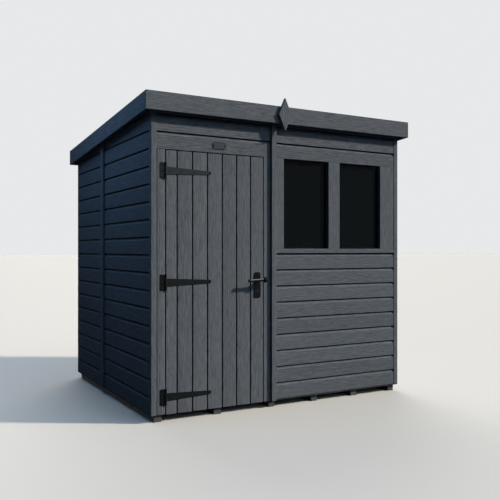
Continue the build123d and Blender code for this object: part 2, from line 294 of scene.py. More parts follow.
def seenDirectly(tree):  # 1 for camera, glossy and transmission rays
    path = put(tree, "LightPath").outputs
    shown = calc(tree, "MAXIMUM", path["Is Camera Ray"], path["Is Glossy Ray"])
    return calc(tree, "MAXIMUM", shown, path["Is Transmission Ray"])


def facing(direction):
    return Vector(direction).to_track_quat("Z", "Y").to_euler()


def buildStudio():
    clearSelection()
    for lamp in ("key", "rear"):
        towards = studio["towards" + lamp.title()]
        bpy.ops.object.light_add(type="SUN", rotation=facing(towards))
        sun = bpy.context.object
        sun.name = lamp + "Lamp"
        sun.data.energy = studio[lamp + "Strength"]
        sun.data.color = studio[lamp + "Tint"]
        sun.data.angle = math.radians(studio[lamp + "Angle"])
    place = Vector(studio["softboxPlace"])
    away = place - Vector(studio["softboxAim"])
    bpy.ops.object.light_add(type="AREA", location=place, rotation=facing(away))
    softbox = bpy.context.object
    softbox.name = "softbox"
    softbox.data.size = studio["softboxSize"]
    softbox.data.energy = studio["softboxPower"]
    softbox.data.color = studio["softboxTint"]
    softbox.visible_camera = False
    softbox.visible_transmission = False

    world = bpy.data.worlds.new("studioWorld")
    world.use_nodes = True
    bpy.context.scene.world = world
    tree = world.node_tree
    tree.nodes.clear()
    way = put(tree, "SeparateXYZ", {0: put(tree, "TexCoord").outputs["Generated"]}).outputs
    inFront = fade(tree, way["Y"], *studio["frontReach"])
    atLeft = fade(tree, way["X"], *studio["leftReach"])
    dome = mixColours(tree, inFront, studio["fillAround"], studio["fillFront"])
    dome = mixColours(tree, atLeft, dome, studio["fillLeft"])
    fill = put(tree, "Background", {0: dome, 1: fade(tree, way["Z"], *studio["fillRise"])})
    pale = put(tree, "Background", {0: studio["backdrop"], 1: 1.0})
    shaders = {0: seenDirectly(tree), 1: fill.outputs[0], 2: pale.outputs[0]}
    put(tree, "OutputWorld", {"Surface": put(tree, "MixShader", shaders).outputs[0]})

    bpy.ops.mesh.primitive_plane_add(size=studio["floorSize"])
    floor = bpy.context.object
    floor.name = "studioFloor"
    material, tree, shader = newMaterial("paleFloor")
    wire(
        tree,
        shader,
        {
            "Base Color": mixColours(
                tree, seenDirectly(tree), studio["floorBounce"], studio["floorColour"]
            ),
            "Roughness": studio["floorRoughness"],
            "Specular IOR Level": studio["floorSpecular"],
        },
    )
    floor.data.materials.append(material)


buildStudio()
print("studio built")

# Grain shared by all timber: growth rings that wander and swell round knots, fine streaks,
# fibres and pores. A texture's values are its stretch along, across and from board to board,
# and its detail; the shares say how much each adds to the tone and to the height.
grainMake = {
    "knotCells": (4.5, 7.5, 40),
    "knotCore": (0.13, 0.05),
    "knotSwell": (0.6, 0.0, 0.0, 0.022),
    "wander": (0.9, 6, 23, 2.0),
    "wanderShare": 0.09,
    "ringSharpness": 2.0,
    "band": (7, 90, 17, 3.0),
    "streak": (12, 225, 29, 1.5),
    "fibre": (28, 900, 11, 1.0),
    "pore": (30, 520, 37, 1.0),
    "poreCut": (0.09, 0.20),
    "noiseRoughness": 0.6,
    "fineShares": {"streak": 4.2, "fibre": 3.2},
    "toneShares": {"band": 2.0, "ring": -0.5, "pore": -1.2, "knot": -2.0},
    "heightShares": {"fine": 0.5, "band": 1.2, "ring": 0.3, "pore": -0.6},
}


def buildGrainGroup():
    group = bpy.data.node_groups.new("timberGrain", "ShaderNodeTree")
    starts = {"Along": 0.0, "Across": 0.0, "Board": 0.0, "Ring Spacing": 0.009, "Knots": 0.3}
    for label, start in starts.items():
        socket = group.interface.new_socket(label, in_out="INPUT", socket_type="NodeSocketFloat")
        socket.default_value = start
    for label in ("Tone", "Height", "Knot"):
        group.interface.new_socket(label, in_out="OUTPUT", socket_type="NodeSocketFloat")
    given = group.nodes.new("NodeGroupInput").outputs
    result = group.nodes.new("NodeGroupOutput").inputs

    def stretched(*shares):
        lengths = [
            calc(group, "MULTIPLY", given[label], share)
            for label, share in zip(("Along", "Across", "Board"), shares)
        ]
        return put(group, "CombineXYZ", dict(enumerate(lengths))).outputs[0]

    def rough(texture):
        *shares, detail = grainMake[texture]
        vector = stretched(*shares)
        cloud = noise(group, vector, 1.0, detail, grainMake["noiseRoughness"])
        return calc(group, "SUBTRACT", cloud, 0.5)

    def summed(total, shares, layers):
        for layer, share in shares.items():
            total = calc(group, "MULTIPLY_ADD", layers[layer], share, total)
        return total

    cells = put(group, "TexVoronoi", {"Vector": stretched(*grainMake["knotCells"]), "Scale": 1.0})
    draw = put(group, "SeparateColor", {0: cells.outputs["Color"]}).outputs[0]
    present = calc(group, "LESS_THAN", draw, given["Knots"])
    distance = cells.outputs["Distance"]
    knot = calc(group, "MULTIPLY", present, fade(group, distance, *grainMake["knotCore"]))
    swell = calc(group, "MULTIPLY", present, fade(group, distance, *grainMake["knotSwell"]))

    line = calc(group, "MULTIPLY_ADD", rough("wander"), grainMake["wanderShare"], given["Across"])
    line = calc(group, "ADD", line, swell)
    rings = calc(group, "DIVIDE", line, given["Ring Spacing"])
    wave = calc(group, "SINE", calc(group, "MULTIPLY", rings, 2 * math.pi))
    wave = calc(group, "MULTIPLY_ADD", wave, 0.5, 0.5)
    layers = {
        "ring": calc(group, "POWER", wave, grainMake["ringSharpness"]),
        "band": rough("band"),
        "streak": rough("streak"),
        "fibre": rough("fibre"),
        "pore": fade(group, rough("pore"), *grainMake["poreCut"]),
        "knot": knot,
    }
    layers["fine"] = summed(0.0, grainMake["fineShares"], layers)
    tone = summed(layers["fine"], grainMake["toneShares"], layers)
    height = summed(0.0, grainMake["heightShares"], layers)
    group.links.new(tone, result["Tone"])
    group.links.new(height, result["Height"])
    group.links.new(knot, result["Knot"])
    return group


timberGrain = buildGrainGroup()

# Which way the grain runs: along it, across it, and how boards are numbered across it
roofPitch = math.radians(4.3)
roofSlope = math.tan(roofPitch)
braceLean = math.radians(51.1)
boardPitch = 0.118
seamLevel = {"wall": 0.054, "front": 0.0585, "overDoor": 0.165, "overWindows": 0.1585}
level = dict(along=(1, 1, 0), across=(0, roofSlope, 1), number=(0, 0, 0), start=0, pitch=1)
upright = dict(level, along=(0, 0, 1), across=(1, 1, 0))
shiplapRows = dict(level, across=(0, 0, 1), number=(0, 0, 1), pitch=boardPitch, lapped=True)
doorRows = dict(
    upright, number=(1, 0, 0), start=-0.992, pitch=0.1132, face=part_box("door_leaf")[0].y
)
jambRun = dict(upright, edge=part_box("door_jamb_left")[0].x)
braceRun = dict(
    upright,
    along=(math.cos(braceLean), 0, math.sin(braceLean)),
    across=(-math.sin(braceLean), 1, math.cos(braceLean)),
)
floorRows = dict(level, along=(1, 0, 0), across=(0, 1, 1), number=(0, 1, 0), pitch=0.11)
roofRows = dict(level, along=(0, 1, 0), across=(1, 0, 1), number=(1, 0, 0), pitch=0.11)
purlinRun = dict(floorRows, pitch=0.3)
bearerRun = dict(roofRows, pitch=0.2)

# The looks: a woodstain on walls and trims, bare wood for floor and roof, dark wood below
paint = {
    "main": (0.100, 0.116, 0.129, 1),
    "other": (0.106, 0.118, 0.132, 1),
    "toneShare": 0.31,
    "boardShare": 0.10,
    "roughness": 0.70,
    "specular": 0.003,
    "reliefDepth": 0.00045,
    "ringSpacing": 0.015,
    "knots": 0.02,
    "knotColour": (0.075, 0.081, 0.088, 1),
    "soil": 0.35,
}
trimPaint = dict(
    paint,
    main=(0.105, 0.120, 0.132, 1),
    other=(0.110, 0.121, 0.134, 1),
    toneShare=0.26,
    knots=0.01,
)
wallLook = dict(paint, toneShare=0.18, reliefDepth=0.0002)
frontLook = dict(paint, toneShare=0.23, reliefDepth=0.0003)
bareWood = {
    "main": (0.43, 0.32, 0.20, 1),
    "other": (0.37, 0.28, 0.18, 1),
    "toneShare": 0.10,
    "boardShare": 0.22,
    "roughness": 0.72,
    "specular": 0.25,
    "reliefDepth": 0.0005,
    "ringSpacing": 0.010,
    "knots": 0.30,
    "knotColour": (0.16, 0.085, 0.04, 1),
    "soil": 0.0,
}
bearerWood = dict(
    bareWood,
    main=(0.048, 0.050, 0.052, 1),
    other=(0.058, 0.058, 0.057, 1),
    knotColour=(0.05, 0.045, 0.04, 1),
    soil=0.6,
)
# Painted shade: how far it reaches under a lip, into a joint of the door or from the jamb's edge,
# and how dark it is there
paintedShade = {
    "lip": (0.0050, 0.0095),
    "lipShare": 0.15,
    "jointTop": (0.0035, 0.0070),
    "jointFoot": (0.0136, 0.0130),
    "jointShare": 0.25,
    "edge": (0.0035, 0.0060),
    "edgeShare": 0.30,
}
# Patches of tone, knots that show through, and soil splashed up from the ground
wear = {
    "patchStretch": 3.0,
    "patches": (6.0, 3.0),
    "patchFade": (0.35, 0.65),
    "knotCover": 0.8,
    "shineShare": -0.04,
    "bump": 0.8,
    "soilRise": (0.26, 0.03),
    "spatter": (14.0, 5.0, 0.7),
    "spatterFade": (0.4, 0.7),
    "soilColour": (0.10, 0.095, 0.082, 1),
}


def timber(name, look, run):
    material, tree, shader = newMaterial(name)
    place = put(tree, "TexCoord").outputs["Object"]

    def measured(direction):
        dot = put(tree, "VectorMath", {0: place, 1: direction}, operation="DOT_PRODUCT")
        return dot.outputs["Value"]

    along = measured(run["along"])
    across = measured(run["across"])
    offset = calc(tree, "SUBTRACT", measured(run["number"]), run["start"])
    number = calc(tree, "FLOOR", calc(tree, "DIVIDE", offset, run["pitch"]))
    board = put(tree, "TexWhiteNoise", {"W": number}, noise_dimensions="1D").outputs["Value"]
    settings = {
        "Along": along,
        "Across": across,
        "Board": board,
        "Ring Spacing": look["ringSpacing"],
        "Knots": look["knots"],
    }
    grain = put(tree, "Group", settings, node_tree=timberGrain).outputs

    acrossPatch = calc(tree, "MULTIPLY", across, wear["patchStretch"])
    patch = put(tree, "CombineXYZ", {0: along, 1: acrossPatch, 2: board}).outputs[0]
    mottle = fade(tree, noise(tree, patch, *wear["patches"]), *wear["patchFade"])
    colour = mixColours(tree, mottle, look["main"], look["other"])
    knotted = calc(tree, "MULTIPLY", grain["Knot"], wear["knotCover"])
    colour = mixColours(tree, knotted, colour, look["knotColour"])

    brightness = calc(tree, "MULTIPLY_ADD", grain["Tone"], look["toneShare"], 1.0)
    differs = calc(tree, "SUBTRACT", board, 0.5)
    shades = [calc(tree, "MULTIPLY_ADD", differs, look["boardShare"], 1.0)]
    if "lapped" in run:  # painted shade under each lip
        nextSeam = calc(tree, "MULTIPLY", calc(tree, "ADD", number, 1.0), run["pitch"])
        belowLip = calc(tree, "SUBTRACT", nextSeam, offset)
        shades.append(fade(tree, belowLip, *paintedShade["lip"], paintedShade["lipShare"], 1.0))
    if "face" in run:  # painted shade in the joints of the door
        depth = calc(tree, "SUBTRACT", partOf(tree, place, "Y"), run["face"])
        top = fade(tree, depth, *paintedShade["jointTop"])
        foot = fade(tree, depth, *paintedShade["jointFoot"])
        inJoint = calc(tree, "MULTIPLY", top, foot)
        shades.append(fade(tree, inJoint, 0.0, 1.0, 1.0, paintedShade["jointShare"]))
    if "edge" in run:  # and painted shade where the jamb meets the corner trim
        away = calc(tree, "SUBTRACT", partOf(tree, place, "X"), run["edge"])
        shades.append(fade(tree, away, *paintedShade["edge"], paintedShade["edgeShare"], 1.0))
    for shade in shades:
        brightness = calc(tree, "MULTIPLY", brightness, shade)
    colour = scaled(tree, colour, brightness)

    if look["soil"]:
        low = fade(tree, partOf(tree, place, "Z"), *wear["soilRise"], 0.0, look["soil"])
        spatter = fade(tree, noise(tree, place, *wear["spatter"]), *wear["spatterFade"])
        soiled = calc(tree, "MULTIPLY", low, spatter)
        colour = mixColours(tree, soiled, colour, wear["soilColour"])
    relief = {"Strength": wear["bump"], "Distance": look["reliefDepth"], "Height": grain["Height"]}
    wire(
        tree,
        shader,
        {
            "Base Color": colour,
            "Roughness": calc(
                tree, "MULTIPLY_ADD", grain["Tone"], wear["shineShare"], look["roughness"]
            ),
            "Specular IOR Level": look["specular"],
            "Normal": put(tree, "Bump", relief).outputs[0],
        },
    )
    return material


wallPaint = timber("wallPaint", wallLook, dict(shiplapRows, start=seamLevel["wall"]))
frontPaint = timber("frontPaint", frontLook, dict(shiplapRows, start=seamLevel["front"]))
doorHeadPaint = timber("doorHeadPaint", paint, dict(shiplapRows, start=seamLevel["overDoor"]))
windowHeadPaint = timber(
    "windowHeadPaint", paint, dict(shiplapRows, start=seamLevel["overWindows"])
)
doorPaint = timber("doorPaint", trimPaint, doorRows)
levelPaint = timber("levelPaint", trimPaint, level)
uprightPaint = timber("uprightPaint", trimPaint, upright)
jambPaint = timber("jambPaint", trimPaint, jambRun)
bracePaint = timber("bracePaint", trimPaint, braceRun)
framePaint = timber("framePaint", paint, upright)
railPaint = timber("railPaint", paint, level)
floorWood = timber("floorWood", bareWood, floorRows)
roofWood = timber("roofWood", bareWood, roofRows)
purlinWood = timber("purlinWood", bareWood, purlinRun)
bearerStain = timber("bearerStain", bearerWood, bearerRun)

# Painted and plain metal: cloudy and finely pitted
metalMake = {
    "clouds": (60.0, 4.0, 0.6),
    "pits": (900.0, 2.0, 0.6),
    "toneShare": 0.7,
    "roughnessShare": 0.3,
    "bump": 0.6,
    "specular": 0.08,
    "paintedSheenFrom": (1.2, 1.3),
    "rubbedRim": 0.7,
    "rubbedPits": (0.3, 0.5),
}
cylinderFace = {"drop": 0.0425, "radius": 0.0085, "rubbed": (0.045, 0.052, 0.048, 1)}


def metalFinish(name, colour, roughness, relief, metallic=0.0, paintedSheen=None, keyhole=None):
    material, tree, shader = newMaterial(name)
    place = put(tree, "TexCoord").outputs["Object"]
    pitting = noise(tree, place, *metalMake["pits"])
    cloud = calc(tree, "SUBTRACT", noise(tree, place, *metalMake["clouds"]), 0.5)
    if paintedSheen:  # painted sheen: ironwork above this height, the top hinge and the blank plate's back and screws, is painted greyer as if catching a reflection
        atTop = fade(tree, partOf(tree, place, "Z"), *metalMake["paintedSheenFrom"])
        colour = mixColours(tree, atTop, (*colour, 1), (*paintedSheen, 1))
    lift = calc(tree, "MULTIPLY_ADD", cloud, metalMake["toneShare"], 1.0)
    tone = scaled(tree, colour, lift)
    if keyhole:  # the key rubs the finish off the face of its cylinder
        away = put(tree, "VectorMath", {0: place, 1: keyhole}, operation="DISTANCE")
        radius = cylinderFace["radius"]
        onFace = fade(tree, away.outputs["Value"], radius, radius * metalMake["rubbedRim"])
        bare = fade(tree, pitting, *metalMake["rubbedPits"])
        rubbed = calc(tree, "MULTIPLY", onFace, bare)
        tone = mixColours(tree, rubbed, tone, cylinderFace["rubbed"])
    bump = {"Strength": metalMake["bump"], "Distance": relief, "Height": pitting}
    wire(
        tree,
        shader,
        {
            "Base Color": tone,
            "Roughness": calc(
                tree, "MULTIPLY_ADD", cloud, metalMake["roughnessShare"], roughness
            ),
            "Metallic": metallic,
            "Specular IOR Level": metalMake["specular"],
            "Normal": put(tree, "Bump", bump).outputs[0],
        },
    )
    return material


lockLow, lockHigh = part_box("lock_plate")
keyCentre = (
    (lockLow.x + lockHigh.x) / 2,
    lockLow.y,
    (lockLow.z + lockHigh.z) / 2 - cylinderFace["drop"],
)
# the second colour is a painted sheen: ironwork high up is painted greyer, as if catching a
# reflection
strapBlack = metalFinish(
    "strapBlack", (0.005, 0.007, 0.008), 0.50, 0.0003, paintedSheen=(0.019, 0.026, 0.030)
)
hingeBlack = metalFinish(
    "hingeBlack", (0.0015, 0.0022, 0.0030), 0.50, 0.0003, paintedSheen=(0.009, 0.013, 0.016)
)
lockBlack = metalFinish("lockBlack", (0.0035, 0.004, 0.005), 0.38, 0.00012, keyhole=keyCentre)
plateGrey = metalFinish("plateGrey", (0.040, 0.053, 0.063), 0.55, 0.0002)
screwBlack = metalFinish("screwBlack", (0.004, 0.005, 0.006), 0.42, 0.0001)
nailSteel = metalFinish("nailSteel", (0.32, 0.33, 0.34), 0.45, 0.0002, metallic=0.9)

# The lever is black, with a painted highlight: the upward faces of its bar are painted pale and
# made metallic
leverHighlight = {
    "barStart": (0.016, 0.022),
    "barEnd": (0.025, 0.029),
    "scuffs": (220.0, 4.0, 0.7),
    "scuffShare": 0.35,
    "paintedHighlightFrom": (0.30, 0.72),
    "black": (0.005, 0.006, 0.007, 1),
    "bright": (0.20, 0.21, 0.22, 1),
    "metallic": 0.6,
    "roughness": 0.36,
    "roughnessShare": 0.2,
    "specular": 0.07,
}


def leverMetal():
    material, tree, shader = newMaterial("leverMetal")
    coordinates = put(tree, "TexCoord").outputs
    upward = partOf(tree, coordinates["Normal"], "Z")
    scuffs = noise(tree, coordinates["Object"], *leverHighlight["scuffs"])
    scuffs = calc(tree, "SUBTRACT", scuffs, 0.5)
    across = partOf(tree, coordinates["Object"], "X")
    low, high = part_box("lever_handle")
    onBar = calc(
        tree,
        "MULTIPLY",
        fade(tree, across, *[low.x + inset for inset in leverHighlight["barStart"]]),
        fade(tree, across, *[high.x - inset for inset in leverHighlight["barEnd"]]),
    )
    upwardWithScuffs = calc(tree, "MULTIPLY_ADD", scuffs, leverHighlight["scuffShare"], upward)
    # painted highlight on the bar's upward faces, broken up by scuffs
    paintedHighlight = calc(tree, "MULTIPLY", fade(tree, upwardWithScuffs, *leverHighlight["paintedHighlightFrom"]), onBar)
    wire(
        tree,
        shader,
        {
            "Base Color": mixColours(tree, paintedHighlight, leverHighlight["black"], leverHighlight["bright"]),
            "Metallic": calc(tree, "MULTIPLY", paintedHighlight, leverHighlight["metallic"]),
            "Roughness": calc(
                tree, "MULTIPLY_ADD", scuffs, leverHighlight["roughnessShare"], leverHighlight["roughness"]
            ),
            "Specular IOR Level": leverHighlight["specular"],
        },
    )
    return material


leverFinish = leverMetal()

# Mineral felt: dark grit in many greys, cloudy from place to place, on a rippled sheet
feltLook = {
    "gritScale": 520.0,
    "darkGrit": (0.035, 0.038, 0.042, 1),
    "paleGrit": (0.115, 0.12, 0.125, 1),
    "clouds": (3.0, 4.0, 0.6),
    "cloudFade": (0.35, 0.75, 0.0, 0.5),
    "dust": (0.09, 0.092, 0.09, 1),
    "ripples": (9.0, 2.0),
    "rippleShare": 3.0,
    "bump": 0.7,
    "reliefDepth": 0.0012,
    "roughness": 0.92,
    "specular": 0.2,
}


def feltFinish():
    material, tree, shader = newMaterial("mineralFelt")
    place = put(tree, "TexCoord").outputs["Object"]
    grit = put(tree, "TexVoronoi", {"Vector": place, "Scale": feltLook["gritScale"]})
    draw = put(tree, "SeparateColor", {0: grit.outputs["Color"]}).outputs[0]
    tone = mixColours(tree, draw, feltLook["darkGrit"], feltLook["paleGrit"])
    dusty = fade(tree, noise(tree, place, *feltLook["clouds"]), *feltLook["cloudFade"])
    ripple = noise(tree, place, *feltLook["ripples"])
    height = calc(
        tree, "MULTIPLY_ADD", ripple, feltLook["rippleShare"], grit.outputs["Distance"]
    )
    bump = {"Strength": feltLook["bump"], "Distance": feltLook["reliefDepth"], "Height": height}
    wire(
        tree,
        shader,
        {
            "Base Color": mixColours(tree, dusty, tone, feltLook["dust"]),
            "Roughness": feltLook["roughness"],
            "Specular IOR Level": feltLook["specular"],
            "Normal": put(tree, "Bump", bump).outputs[0],
        },
    )
    return material


# Glass painted near-black and mostly opaque, as painted shade for the dark room behind it, with a
# film and some dust along its foot
glassLook = {
    "film": (7.0, 4.0, 0.6),
    "dustRise": (0.03, 0.0),
    "dustFilm": (0.35, 0.7),
    # the clean and dusty colours are near-black and the alpha keeps the pane mostly opaque:
    # painted shade for the room
    "clean": (0.004, 0.006, 0.007, 1),
    "dusty": (0.009, 0.011, 0.012, 1),
    "filmRoughness": (0.4, 0.8, 0.015, 0.06),
    "alpha": 0.82,
    "dustAlpha": 0.1,
    "ior": 1.45,
    "specular": 0.05,
}


def paneGlass():
    material, tree, shader = newMaterial("paneGlass")
    place = put(tree, "TexCoord").outputs["Object"]
    film = noise(tree, place, *glassLook["film"])
    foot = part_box("window_sill")[1].z
    above = calc(tree, "SUBTRACT", partOf(tree, place, "Z"), foot)
    dust = calc(
        tree,
        "MULTIPLY",
        fade(tree, above, *glassLook["dustRise"]),
        fade(tree, film, *glassLook["dustFilm"]),
    )
    wire(
        tree,
        shader,
        {
            "Base Color": mixColours(tree, dust, glassLook["clean"], glassLook["dusty"]),
            "Roughness": fade(tree, film, *glassLook["filmRoughness"]),
            "Alpha": calc(
                tree, "MULTIPLY_ADD", dust, glassLook["dustAlpha"], glassLook["alpha"]
            ),
            "IOR": glassLook["ior"],
            "Specular IOR Level": glassLook["specular"],
        },
    )
    return material


roofFelt = feltFinish()
glass = paneGlass()
print("materials built")

# Shiplap: boards with a hollowed upper edge under the next board's square lip
shiplap = {
    "arrisBelowLip": 0.023,
    "straightBelowLip": 0.005,
    "hollowDepth": 0.0105,
    "hollowSteps": 5,
    "lipRounding": 0.0018,
    "leastAtFoot": 0.4,
    "leastAtTop": 0.3,
    "footReach": 0.02,
    "topReach": 0.04,
}


def shiplapBoard(length, thickness):
    depth = shiplap["hollowDepth"]
    top = boardPitch - shiplap["straightBelowLip"]
    run = shiplap["arrisBelowLip"] - shiplap["straightBelowLip"]
    radius = (run**2 + depth**2) / (2 * depth)
    steepest = math.asin(run / radius)
    levels = [(boardPitch, depth)]
    for i in range(shiplap["hollowSteps"] + 1):
        turn = steepest * i / shiplap["hollowSteps"]
        levels.append((top - radius * math.sin(turn), depth - radius * (1 - math.cos(turn))))
    board = block((-length / 2, 0, 0), (length / 2, thickness, boardPitch))
    for height, _ in levels[1:]:
        cutAcross(board, (0, 0, height), (0, 0, 1))
    for height, inset in levels:
        shift(
            board,
            lambda co: abs(co.z - height) < samePlace and co.y < samePlace,
            (0, inset, 0),
        )
    bevelEdges(
        board,
        lambda a, b: max(a.y, b.y, a.z, b.z) < samePlace,
        shiplap["lipRounding"],
        2,
    )
    return board


def shiplapPanel(node, name, side, seam, material, levelTop=False):
    low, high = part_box(node)
    middle = (low + high) / 2
    turn, x, y = {
        "front": (0, middle.x, low.y),
        "back": (180, middle.x, high.y),
        "left": (-90, low.x, middle.y),
        "right": (90, high.x, middle.y),
    }[side]
    spans = (high.x - low.x, high.y - low.y)
    rowsToSeam = math.floor((seam - low.z) / boardPitch - shiplap["leastAtFoot"]) + 1
    start = seam - boardPitch * rowsToSeam
    count = math.ceil((high.z - start) / boardPitch - shiplap["leastAtTop"])
    panel = shiplapBoard(max(spans), min(spans))
    panel.name = name
    repeat(panel, count, (0, 0, boardPitch))
    panel.location = (x, y, start)
    panel.rotation_euler = (0, 0, math.radians(turn))
    settle(panel)
    shift(panel, lambda co: co.z < start + shiplap["footReach"], (0, 0, low.z - start))
    if levelTop:
        end = start + count * boardPitch
        shift(panel, lambda co: co.z > end - shiplap["topReach"], (0, 0, high.z - end))
    else:  # the top follows the roof, as the CAD piece's does
        cutAcross(
            panel,
            (0, low.y, high.z),
            (0, math.sin(roofPitch), math.cos(roofPitch)),
            use_fill=True,
            clear_outer=True,
        )
    dress(panel, material, "shed", [node])


for side in ("left", "right"):
    for end in ("front", "back"):
        node = f"{side}_wall_{end}_panel"
        shiplapPanel(node, f"{side}{end.title()}Boards", side, seamLevel["wall"], wallPaint)
    node = f"back_wall_{side}_panel"
    shiplapPanel(node, f"back{side.title()}Boards", "back", seamLevel["wall"], wallPaint)
shiplapPanel(
    "header_over_door", "boardsOverDoor", "front", seamLevel["overDoor"], doorHeadPaint
)
shiplapPanel(
    "header_over_windows", "boardsOverWindows", "front", seamLevel["overWindows"], windowHeadPaint
)
shiplapPanel(
    "wall_under_windows", "boardsUnderWindows", "front", seamLevel["front"], frontPaint, True
)
print("shiplap boards built")

# Planed trims, fascias and frames: the CAD shapes with rounded arrises
arris = {
    "trim": 0.0022,
    "corner": 0.0045,
    "jamb": 0.005,
    "fascia": 0.0020,
    "frame": 0.0014,
    "sawn": 0.0020,
}
uprightTrims = {
    "front_left_corner_trim": "frontLeftCornerTrim",
    "front_right_corner_trim": "frontRightCornerTrim",
    "back_corner_trims": "backCornerTrims",
    "left_wall_cover_strip": "leftWallStrip",
    "right_wall_cover_strip": "rightWallStrip",
    "back_wall_cover_strip": "backWallStrip",
    "section_cover_strip": "frontStrip",
    "door_jamb_left": "leftJamb",
    "door_jamb_right": "rightJamb",
    "window_left_stile": "leftStile",
    "window_mullion": "mullion",
    "window_right_stile": "rightStile",
    "finial": "diamondFinial",
}
levelTrims = {
    "window_sill": "windowSill",
    "front_fascia": "frontFascia",
    "back_fascia": "backFascia",
    "left_fascia": "leftFascia",
    "right_fascia": "rightFascia",
}
rails = {
    "bottom_rails": "bottomRails",
    "opening_rails": "openingRails",
    "top_rails": "topRails",
}
for node, name in uprightTrims.items():
    if node == "door_jamb_left":  # its plain chamfers shade the joint with the corner trim, and its paint adds painted shade along that edge
        dressCopy(node, name, arris["jamb"], jambPaint, segments=1)
    else:
        width = arris["corner" if node.startswith("front_") else "trim"]
        dressCopy(node, name, width, uprightPaint)
for node, name in levelTrims.items():
    dressCopy(node, name, arris["fascia"], levelPaint)
dressCopy("wall_studs", "wallStuds", arris["frame"], framePaint)
for node, name in rails.items():
    dressCopy(node, name, arris["frame"], railPaint)
dressCopy("bearers", "bearerTimbers", arris["sawn"], bearerStain)
dressCopy("roof_purlins", "roofPurlins", arris["sawn"], purlinWood)
print("trims and frames built")

axisX, axisY, axisZ = range(3)


# Rows of boards with chamfered joints, for the door, the floor and the roof
def boardRow(name, low, high, axis, joints, faceAxis, faceLevel, gap, chamfer):
    edges = [low[axis], *joints, high[axis]]
    last = len(edges) - 2
    parts = []
    sides = []
    for i in range(last + 1):
        boardLow = list(low)
        boardHigh = list(high)
        boardLow[axis] = edges[i] + (gap / 2 if i else 0)
        boardHigh[axis] = edges[i + 1] - (gap / 2 if i < last else 0)
        parts.append(block(boardLow, boardHigh))
        if i:
            sides.append(boardLow[axis])
        if i < last:
            sides.append(boardHigh[axis])
    row = joined(parts, name)

    def onLevel(a, b, direction, place):
        return abs(a[direction] - place) < samePlace and abs(b[direction] - place) < samePlace

    def alongJoint(a, b):
        onSide = any(onLevel(a, b, axis, side) for side in sides)
        return onSide and onLevel(a, b, faceAxis, faceLevel)

    bevelEdges(row, alongJoint, chamfer, 1)
    return row


door = {
    "jointsFromWallEnd": (0.184, 0.297, 0.4095, 0.524, 0.637, 0.750),
    "jointGap": 0.0054,
    "chamfer": 0.0048,
    "tongueWidth": 0.012,
    "tongueDepth": (0.0105, 0.0125),
    "tongueEndRoom": 0.001,
    "arris": 0.0014,
}


def doorBoards():
    low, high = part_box("door_leaf")
    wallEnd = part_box("left_wall_front_panel")[0].x
    joints = [wallEnd + place for place in door["jointsFromWallEnd"]]
    leaf = boardRow(
        "doorBoards", low, high, axisX, joints, axisY, low.y, door["jointGap"], door["chamfer"]
    )

    def roundTheFace(a, b):
        return max(a.y, b.y) < low.y + samePlace and (
            max(a.x, b.x) < low.x + samePlace
            or min(a.x, b.x) > high.x - samePlace
            or max(a.z, b.z) < low.z + samePlace
            or min(a.z, b.z) > high.z - samePlace
        )

    bevelEdges(leaf, roundTheFace, door["arris"], 2)
    halfWidth = door["tongueWidth"] / 2
    near, far = door["tongueDepth"]
    room = door["tongueEndRoom"]
    tongues = [
        block(
            (x - halfWidth, low.y + near, low.z + room),
            (x + halfWidth, low.y + far, high.z - room),
        )
        for x in joints
    ]
    leaf = joined([leaf, *tongues], "doorBoards")
    dress(leaf, doorPaint, "door", ["door_leaf"])


doorBoards()
dressCopy("door_ledges", "doorLedges", arris["trim"], levelPaint, "door")
dressCopy("door_braces", "doorBraces", arris["trim"], bracePaint, "door")

boarding = {
    "width": 0.11,
    "gap": 0.0006,
    "roofChamfer": 0.0022,
    "floorChamfer": 0.0011,
    "endRoom": 0.001,
}


def evenJoints(low, high):
    count = round((high - low) / boarding["width"])
    return [low + (high - low) * i / count for i in range(1, count)]


def floorBoards():
    low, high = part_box("floor_deck")
    joints = evenJoints(low.y, high.y)
    gap = boarding["gap"]
    chamfer = boarding["floorChamfer"]
    deck = boardRow("floorBoards", low, high, axisY, joints, axisZ, high.z, gap, chamfer)
    dress(deck, floorWood, "shed", ["floor_deck"])


def roofBoards():  # made level from the front edge back, then tipped to the roof's slope
    low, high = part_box("roof_boards")
    room = boarding["endRoom"]
    length = (high.y - low.y) / math.cos(roofPitch) - 2 * room
    thickness = (high.z - low.z) - (high.y - low.y) * roofSlope
    start = (low.x, 0, -thickness)
    end = (high.x, length, 0)
    joints = evenJoints(low.x, high.x)
    gap = boarding["gap"]
    chamfer = boarding["roofChamfer"]
    boards = boardRow("roofBoards", start, end, axisX, joints, axisZ, -thickness, gap, chamfer)
    boards.location = (0, low.y + room, high.z - room * roofSlope)
    boards.rotation_euler = (-roofPitch, 0, 0)
    settle(boards)
    dress(boards, roofWood, "shed", ["roof_boards"])


floorBoards()
roofBoards()
print("door, floor and roof boards built")

# Felt: three strips lapped down the slope, nailed along the front, each lap and the back
felt = {
    "strips": 3,
    "lap": 0.075,
    "thickness": 0.0026,
    "rise": 0.0028,
    "bend": (-0.015, 0.005),
    "arris": 0.0008,
    "endRoom": 0.001,
    "nailSpacing": 0.075,
    "nailInset": 0.028,
    "nailRadius": 0.0048,
    "nailHeight": 0.0012,
    "nailDome": 0.7,
    "nailSides": 12,
}


def nailRow(start, count, step):
    clearSelection()
    bpy.ops.mesh.primitive_cylinder_add(
        vertices=felt["nailSides"],
        radius=felt["nailRadius"],
        depth=felt["nailHeight"],
        location=start,
    )
    row = settle(bpy.context.object)
    top = start[2] + felt["nailHeight"] / 2
    dome = felt["nailHeight"] * felt["nailDome"]
    bevelEdges(row, lambda a, b: min(a.z, b.z) > top - samePlace, dome, 2)
    repeat(row, count, step)
    return row


